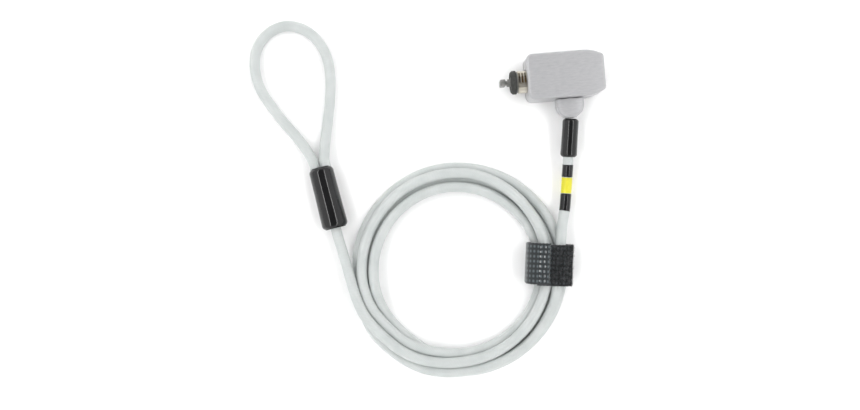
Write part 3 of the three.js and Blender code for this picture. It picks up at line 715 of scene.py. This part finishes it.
def tieLine():
    # the tape's middle seen along the cable: under the flap, round the bundle, and over the top
    half = tie["halfWidth"] - tie["thick"] / 2
    low = tie["thick"] / 2 + tie["clear"]
    corner = tie["corner"]
    steps = tie["arcSteps"]
    points = [(tie["innerStart"], tie["innerTop"] - 0.25), (half - corner - 3, tie["innerTop"])]
    points += arcPoints((half - corner, tie["innerTop"] - corner), corner, 90, 0, steps)
    points += arcPoints((half - corner, low + corner), corner, 0, -90, steps)
    points += arcPoints((-half + corner, low + corner), corner, -90, -180, steps)
    points += arcPoints((-half + corner, tie["outerTop"] - corner), corner, 180, 90, steps)
    points += [(tie["flapEnd"] - 2, tie["outerTop"]), (tie["flapEnd"], tie["outerTop"] - 0.12)]
    line = np.array([(x, 0, z) for x, z in points], float)
    return evenSteps(line, tie["step"])


tieMiddle = tieLine()
tieLength = lengthsAlong(tieMiddle)[-1]


def tieNormals():
    run = np.gradient(tieMiddle, axis=0)
    run /= np.linalg.norm(run, axis=1, keepdims=True)
    return np.stack([-run[:, 2], np.zeros(len(run)), run[:, 0]], axis=1)


tieOut = tieNormals()
if tieOut[5][2] < 0:
    tieOut = -tieOut


def tieSkew(i):
    # the tape's two layers don't lie quite edge to edge
    share = i / (len(tieMiddle) - 1)
    return tie["skew"][0] + tie["skew"][1] * (share - tie["skewAt"])


def tieTurned(place):
    # the tie sits a little askew on the bundle
    return Matrix.Rotation(math.radians(tie["turn"]), 3, "Z") @ place + Vector((tie["x"], tie["y"], 0))


def tieMesh():
    # a closed strip: the outer face, the inner face and thin rounded edges
    count = tie["across"]
    half = tie["thick"] / 2
    ring = [(k / count - 0.5, half) for k in range(count + 1)]
    ring += [(0.5 - k / count, -half) for k in range(count + 1)]
    vertices, uvs = [], []
    along = lengthsAlong(tieMiddle)
    for i, (middle, out) in enumerate(zip(tieMiddle, tieOut)):
        ends = min(along[i], along[-1] - along[i])
        thin = min(1, 0.35 + ends * 0.9)
        for share, height in ring:
            edge = min(1, 0.4 + (0.5 - abs(share)) * tie["tape"] * 1.2)
            fray = tie["fray"] * math.sin(i * 1.9 + share * 40)
            y = share * tie["tape"] + tieSkew(i) + (fray if abs(share) > 0.49 else 0)
            place = middle + out * height * thin * edge
            vertices.append(tieTurned(Vector((place[0], y, place[2]))) * mm)
            uvs.append((along[i] / 10, share * tie["tape"] / 10))
    size = len(ring)
    faces = []
    for i in range(len(tieMiddle) - 1):
        for k in range(size):
            after = (k + 1) % size
            faces.append((i * size + k, i * size + after, (i + 1) * size + after, (i + 1) * size + k))
    faces.append(tuple(reversed(range(size))))
    faces.append(tuple((len(tieMiddle) - 1) * size + k for k in range(size)))
    obj = meshObject("tie_tape", vertices, faces, uvs=uvs)
    cleanMesh(obj, 0.0005)
    sharpen(obj, 60)
    return obj


tape = finishPiece(tieMesh(), "head", "tie_tape", ["tie_band", "tie_flap"])


def strandBlades(name, roots, look, seed, length, thick, lean):
    # short fibres, each one a thin bent blade
    draw = random.Random(seed)
    vertices, faces = [], []
    for place, out, side in roots:
        reach = length * draw.uniform(0.6, 1.2)
        swing = Vector((draw.uniform(-1, 1), draw.uniform(-1, 1), draw.uniform(-1, 1))) * lean * reach
        tip = place + out * reach + swing
        knee = place + out * reach * 0.6 + swing * 0.25
        wide = side * thick * draw.uniform(0.6, 1.2)
        base = len(vertices)
        vertices += [place - wide, place + wide, knee + wide * 0.8, knee - wide * 0.8, tip]
        faces += [(base, base + 1, base + 2, base + 3), (base + 3, base + 2, base + 4)]
    obj = meshObject(name, [v * mm for v in vertices], faces)
    return finishPiece(obj, "head", "tie_tape", look=look)


def tiePlace(length, share):
    # the point on the tape's outer face at a length along it and a share of its width
    along = lengthsAlong(tieMiddle)
    i = int(np.clip(np.searchsorted(along, length), 0, len(tieMiddle) - 1))
    place = tieMiddle[i] + tieOut[i] * tie["thick"] / 2 * 0.9
    y = share * tie["tape"] + tieSkew(i)
    return tieTurned(Vector((place[0], y, place[2]))), Vector(tieOut[i])


pile = {"count": 9000, "from": 6.4, "to": 24.4, "seed": 11, "bladeSeed": 12, "length": 0.7, "thick": 0.1,
        "lean": 1.0}
hooks = {"rows": 8, "fromEnd": (3.0, 5.3), "stray": 0.15, "height": 0.4, "width": 0.95, "thick": 0.32,
         "seed": 5}
stitches = {"rows": 22, "fromEnd": (0.9,), "stray": 0.05, "height": 0.18, "width": 0.6, "thick": 0.1,
            "seed": 9}


def pileRoots():
    # soft pile covers the tape from the flap's end round to the bottom
    draw = random.Random(pile["seed"])
    start, stop = pile["from"], pile["to"]
    roots = []
    for _ in range(pile["count"]):
        place, out = tiePlace(draw.uniform(start, stop), draw.uniform(-0.5, 0.5))
        turn = draw.uniform(0, math.pi)
        side = Vector((0, math.cos(turn), 0)) + out.cross(Vector((0, 1, 0))) * math.sin(turn)
        roots.append((place, out, side))
    return roots


tiePile = strandBlades("tie_pile", pileRoots(), pileFibre("blackPile", *fibre["pile"]),
                       pile["bladeSeed"], pile["length"], pile["thick"], pile["lean"])


def raisedMarks(name, marks, look):
    # rows of small raised marks across the tape, near the flap's end
    vertices, faces = [], []
    draw = random.Random(marks["seed"])
    for fromEnd in marks["fromEnd"]:
        for row in range(marks["rows"]):
            share = (row + 0.5) / marks["rows"] - 0.5 + draw.uniform(-0.006, 0.006)
            place, out = tiePlace(tieLength - fromEnd + draw.uniform(-1, 1) * marks["stray"], share * 0.94)
            wide = Vector((0, 1, 0)) * marks["width"] / 2 * draw.uniform(0.8, 1.2)
            thick = out.cross(Vector((0, 1, 0))) * marks["thick"]
            base = len(vertices)
            for level, grow in ((0.0, 1.0), (0.6, 0.85), (1.0, 0.45)):
                middle = place + out * marks["height"] * level
                for a, b in ((-1, -1), (1, -1), (1, 1), (-1, 1)):
                    vertices.append((middle + wide * a * grow + thick * b * grow) * mm)
            for level in (0, 4):
                for k in range(4):
                    after = (k + 1) % 4
                    faces.append((base + level + k, base + level + after, base + level + 4 + after,
                                  base + level + 4 + k))
            faces.append(tuple(base + 8 + k for k in range(4)))
            faces.append(tuple(base + k for k in reversed(range(4))))
    obj = meshObject(name, vertices, faces)
    cleanMesh(obj, 0.0001)
    return finishPiece(obj, "head", "tie_tape", look=look)


tieHooks = raisedMarks("tie_hooks", hooks, pileFibre("paleHooks", *fibre["hooks"]))
tieStitches = raisedMarks("tie_stitches", stitches, pileFibre("greyThread", *fibre["thread"]))
print("tie made,", round(tieLength), "mm of tape")


head = {
    "length": 36.4,
    "width": 21.6,
    "thick": 16,
    "corner": 3,
    "keyCorner": 2.2,
    "taperLength": 10.5,
    "taperInset": 1.7,
    "edge": 1.3,
    "edgeSteps": 6,
    "bottomEdge": 0.12,
    "shellBottom": 1.9,
    "arcSteps": 7,
    "sharpAbove": 28,  # degrees
}


def bezier(start, control, end, steps):
    points = []
    for i in range(1, steps + 1):
        t = i / steps
        points.append(tuple(a * (1 - t) ** 2 + 2 * b * t * (1 - t) + c * t * t
                            for a, b, c in zip(start, control, end)))
    return points


def headOutline(inset):
    half = head["width"] / 2 - inset
    left = -head["length"] / 2 + inset
    right = head["length"] / 2 - inset
    corner = head["corner"] - inset
    keyCorner = head["keyCorner"] - inset * 0.45
    keyHalf = half - head["taperInset"]
    taperStart = right - head["taperLength"]
    bend = taperStart + head["taperLength"] / 2
    steps = head["arcSteps"]
    points = arcPoints((left + corner, -half + corner), corner, 180, 270, steps)
    points += [(taperStart, -half)]
    points += bezier(points[-1], (bend, -half), (right - keyCorner, -keyHalf), steps)
    points += bezier(points[-1], (right, -keyHalf + keyCorner / 4), (right, -keyHalf + keyCorner), steps)
    points += [(right, keyHalf - keyCorner)]
    points += bezier(points[-1], (right, keyHalf - keyCorner / 4), (right - keyCorner, keyHalf), steps)
    points += bezier(points[-1], (bend, half), (taperStart, half), steps)
    points += arcPoints((left + corner, half - corner), corner, 90, 180, steps)
    return points


def stackedMesh(name, outline, levels):
    # a closed body from one outline drawn at several heights: pairs of inset and height
    vertices, faces = [], []
    for inset, z in levels:
        vertices += [(x, y, z) for x, y in outline(inset)]
    count = len(vertices) // len(levels)
    for level in range(len(levels) - 1):
        for k in range(count):
            after = (k + 1) % count
            faces.append((level * count + k, level * count + after,
                          (level + 1) * count + after, (level + 1) * count + k))
    faces.append(tuple(reversed(range(count))))
    faces.append(tuple((len(levels) - 1) * count + k for k in range(count)))
    return meshObject(name, vertices, faces)


def roundedTop(radius, top, steps):
    # insets and heights round an upper edge, from the side to the face
    return [(radius * (1 - math.cos(i / steps * math.pi / 2)),
             top - radius * (1 - math.sin(i / steps * math.pi / 2))) for i in range(steps + 1)]


def rod(radius, start, end, sides=64):
    start, end = Vector(start), Vector(end)
    bpy.ops.mesh.primitive_cylinder_add(vertices=sides, radius=radius, depth=(end - start).length,
                                        location=(start + end) / 2)
    obj = bpy.context.object
    obj.rotation_euler = (end - start).to_track_quat("Z", "Y").to_euler()
    return obj


def boxBetween(low, high):
    low, high = Vector(low), Vector(high)
    bpy.ops.mesh.primitive_cube_add(size=1, location=(low + high) / 2)
    obj = bpy.context.object
    obj.scale = high - low
    return obj


def cutAway(obj, cutters):
    # takes the cutters out of a body drawn in millimetres, then brings it to metres
    bpy.context.view_layer.update()
    for cutter in cutters:
        step = obj.modifiers.new("cut", "BOOLEAN")
        step.operation = "DIFFERENCE"
        step.solver = "EXACT"
        step.object = cutter
    bpy.context.view_layer.update()
    graph = bpy.context.evaluated_depsgraph_get()
    mesh = bpy.data.meshes.new_from_object(obj.evaluated_get(graph))
    obj.modifiers.clear()
    obj.data = mesh
    for cutter in cutters:
        bpy.data.objects.remove(cutter)
    obj.data.transform(Matrix.Scale(mm, 4))
    sharpen(obj, head["sharpAbove"])
    return obj


axisY, axisZ = -1.2, 8  # the barrel's middle

# what is taken out of the casting; it is open below
hollow = {
    "barrelRoom": ((-12.8, -8.8), (4.9, 8.8)),
    "guideRoom": ((8.3, -5.4), (16.2, 5.4)),
    "ceiling": 14,
    "below": -1,
    "barrelBore": 5.6,
    "keyWall": 2,
    "railSlot": {"fromY": -4.7, "toY": -1.5, "toX": 13.2, "top": 13.55},
    "stopPin": {"radius": 1.3, "x": 6.6, "y": 4.1},
    "keyBore": 4.3,
    "studBore": {"radius": 2.5, "x": 1.6, "fromY": -12, "toY": -7.8},
    "rivets": {"radius": 1.4, "top": 4.6, "places": [(-14.8, -7.8), (-14.8, 7.8), (14.8, -6.1), (14.8, 6.1)]},
}


def housing():
    bottom, bevel = head["shellBottom"], head["bottomEdge"]
    levels = [(bevel, bottom), (0, bottom + bevel)]
    levels += roundedTop(head["edge"], head["thick"], head["edgeSteps"])
    body = stackedMesh("housing_casting", headOutline, levels)
    left, right = -head["length"] / 2, head["length"] / 2
    below, ceiling = hollow["below"], hollow["ceiling"]
    rail, pin, stud, rivets = (hollow[key] for key in ("railSlot", "stopPin", "studBore", "rivets"))
    cutters = [boxBetween((*low, below), (*high, ceiling))
               for low, high in (hollow["barrelRoom"], hollow["guideRoom"])]
    cutters += [
        rod(hollow["barrelBore"], (left - 1, axisY, axisZ), (right - hollow["keyWall"], axisY, axisZ)),
        boxBetween((left - 1, rail["fromY"], axisZ), (rail["toX"], rail["toY"], rail["top"])),
        rod(pin["radius"], (pin["x"], pin["y"], below), (pin["x"], pin["y"], ceiling), 32),
        rod(hollow["keyBore"], (right - 3, axisY, axisZ), (right + 1, axisY, axisZ)),
        rod(stud["radius"], (stud["x"], stud["fromY"], axisZ), (stud["x"], stud["toY"], axisZ), 40),
    ]
    for x, y in rivets["places"]:
        cutters.append(rod(rivets["radius"], (x, y, below), (x, y, rivets["top"]), 32))
    return cutAway(body, cutters)


finishPiece(housing(), "head", "cast_zinc", ["housing_shell"])

lug = {
    "x": 1.6,
    "width": 12.9,
    "fromY": -20.3,
    "toY": -11.1,
    "bevel": 0.12,
    "rim": [(1.42, 12.0), (1.28, 11.95), (0.22, 11.22), (0.05, 11.0), (0, 10.7)],  # inset and height
    "arcSteps": 32,
    "studBore": (2.6, -16, -10),  # radius, from, to
    "cableBore": (3.3, -22, -16.3),
}


def lugOutline(inset):
    half = lug["width"] / 2 - inset
    middleY = lug["fromY"] + lug["width"] / 2
    top = lug["toY"] - min(inset, lug["bevel"])
    points = arcPoints((lug["x"], middleY), half, 180, 360, lug["arcSteps"])
    return points + [(lug["x"] + half, top), (lug["x"] - half, top)]


def lugMesh():
    # flat faces inside a sloping rim, the same on both sides
    levels = [(inset, 2 * axisZ - z) for inset, z in lug["rim"]]
    levels += [(inset, z) for inset, z in reversed(lug["rim"])]
    body = stackedMesh("lug_casting", lugOutline, levels)
    cutters = [rod(radius, (lug["x"], start, axisZ), (lug["x"], end, axisZ), 40)
               for radius, start, end in (lug["studBore"], lug["cableBore"])]
    return cutAway(body, cutters)


finishPiece(lugMesh(), "lug", "cast_zinc", ["lug"])

washerRing = {
    "front": -25.8,
    "profile": [  # radius, and distance from the front
        (3.6, 0), (4.55, 0), (4.75, 0.06), (5.42, 0.72), (5.56, 0.92), (5.6, 1.15), (5.6, 2.5),
        (5.5, 2.65), (5.35, 2.7), (3.6, 2.7),
    ],
    "steps": 64,
}


def washerMesh():
    front = washerRing["front"]
    return turnedMesh("washer_ring", washerRing["profile"], (front, axisY, axisZ),
                      (front + 1, axisY, axisZ), washerRing["steps"])


spring = {"start": 8.7, "end": 15.0, "radius": 4.75, "wire": 0.3, "turns": 3, "closed": 2.5, "steps": 240}


def springLine():
    line = []
    for i in range(spring["steps"] + 1):
        share = i / spring["steps"]
        angle = 2 * math.pi * spring["turns"] * share
        x = spring["start"] + spring["wire"] + (spring["end"] - spring["start"] - 2 * spring["wire"]) * share
        line.append((x, axisY + spring["radius"] * math.cos(angle),
                     axisZ + spring["radius"] * math.sin(angle)))
    return line


coilSpring = tubeMesh("barrel_spring", springLine(), spring["wire"], 12)
finishPiece(coilSpring, "head", "bright_steel", ["return_spring"])
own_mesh(coilSpring)

washer = washerMesh()
sharpen(washer, 40)
finishPiece(washer, "barrel", "washer_rubber", ["rubber_washer"])

for row in frame["record"]["subparts"]:
    node = nodes[row["node"]]
    if not node.hide_render:
        sharpen(node, 30)
        node.data.materials.clear()
        node.data.materials.append(finishes[row["material_slot"]])
print("head made")


studio = {
    "middle": (-0.06, -0.05, 0),  # of the table, in metres
    "floor": 0.95,
    "floorRoughness": 0.7,
    "sky": 1.1,
    "zenith": 0.16,
    "line": 11.0,
    "lineAngle": 31,  # degrees from straight up, to either side
    "lineWidth": 3.0,
    "plainBelow": 0.6,
    "lineEdge": 0.004,
    "fill": {"energy": 3.7, "size": 1.3, "place": (-0.09, 0.0, 0.75)},
}


def makeFloor():
    bpy.ops.mesh.primitive_plane_add(size=4, location=studio["middle"])
    floor = bpy.context.object
    floor.name = "table_top"
    floor.data.materials.append(material("paleTable", (studio["floor"],) * 3, studio["floorRoughness"]))


def makeWorld():
    # a pale room, dark overhead, with a long thin lamp to either side
    world = bpy.data.worlds.new("studio")
    scene.world = world
    world.use_nodes = True
    tree = world.node_tree
    place = tree.nodes.new("ShaderNodeTexCoord")
    split = tree.nodes.new("ShaderNodeSeparateXYZ")
    slope = tree.nodes.new("ShaderNodeMath")
    slope.operation = "ARCTAN2"
    size = tree.nodes.new("ShaderNodeMath")
    size.operation = "ABSOLUTE"
    scaled = tree.nodes.new("ShaderNodeMath")
    scaled.operation = "DIVIDE"
    scaled.inputs[1].default_value = math.pi / 2
    low = tree.nodes.new("ShaderNodeMath")  # the room is plain near the horizon
    low.operation = "LESS_THAN"
    low.inputs[1].default_value = studio["plainBelow"]
    either = tree.nodes.new("ShaderNodeMath")
    either.operation = "MAXIMUM"
    ramp = tree.nodes.new("ShaderNodeValToRGB")
    first = (studio["lineAngle"] - studio["lineWidth"] / 2) / 90
    second = (studio["lineAngle"] + studio["lineWidth"] / 2) / 90
    edge = studio["lineEdge"]
    stops = [(0, studio["zenith"]), (first - edge, studio["zenith"]), (first, studio["line"]),
             (second, studio["line"]), (second + edge, studio["sky"])]
    while len(ramp.color_ramp.elements) < len(stops):
        ramp.color_ramp.elements.new(0.5)
    for element, (position, value) in zip(ramp.color_ramp.elements, stops):
        element.position = position
        element.color = (value / studio["line"],) * 3 + (1,)
    tree.links.new(place.outputs["Generated"], split.inputs["Vector"])
    tree.links.new(split.outputs["X"], slope.inputs[0])
    tree.links.new(split.outputs["Z"], slope.inputs[1])
    tree.links.new(slope.outputs["Value"], size.inputs[0])
    tree.links.new(size.outputs["Value"], scaled.inputs[0])
    tree.links.new(split.outputs["Z"], low.inputs[0])
    tree.links.new(scaled.outputs["Value"], either.inputs[0])
    tree.links.new(low.outputs["Value"], either.inputs[1])
    tree.links.new(either.outputs["Value"], ramp.inputs["Fac"])
    tree.links.new(ramp.outputs["Color"], tree.nodes["Background"].inputs["Color"])
    tree.nodes["Background"].inputs["Strength"].default_value = studio["line"]


def makeFill():
    # a broad soft lamp overhead, which doesn't show in the gloss
    fill = studio["fill"]
    data = bpy.data.lights.new("overheadFill", "AREA")
    data.shape = "SQUARE"
    data.size = fill["size"]
    data.energy = fill["energy"]
    lamp = bpy.data.objects.new("overheadFill", data)
    lamp.location = fill["place"]
    lamp.rotation_euler = (Vector(studio["middle"]) - lamp.location).to_track_quat("-Z", "Y").to_euler()
    lamp.visible_glossy = False
    scene.collection.objects.link(lamp)


makeFloor()
makeWorld()
makeFill()
scene.view_settings.view_transform = "Standard"
print("floor and light made")
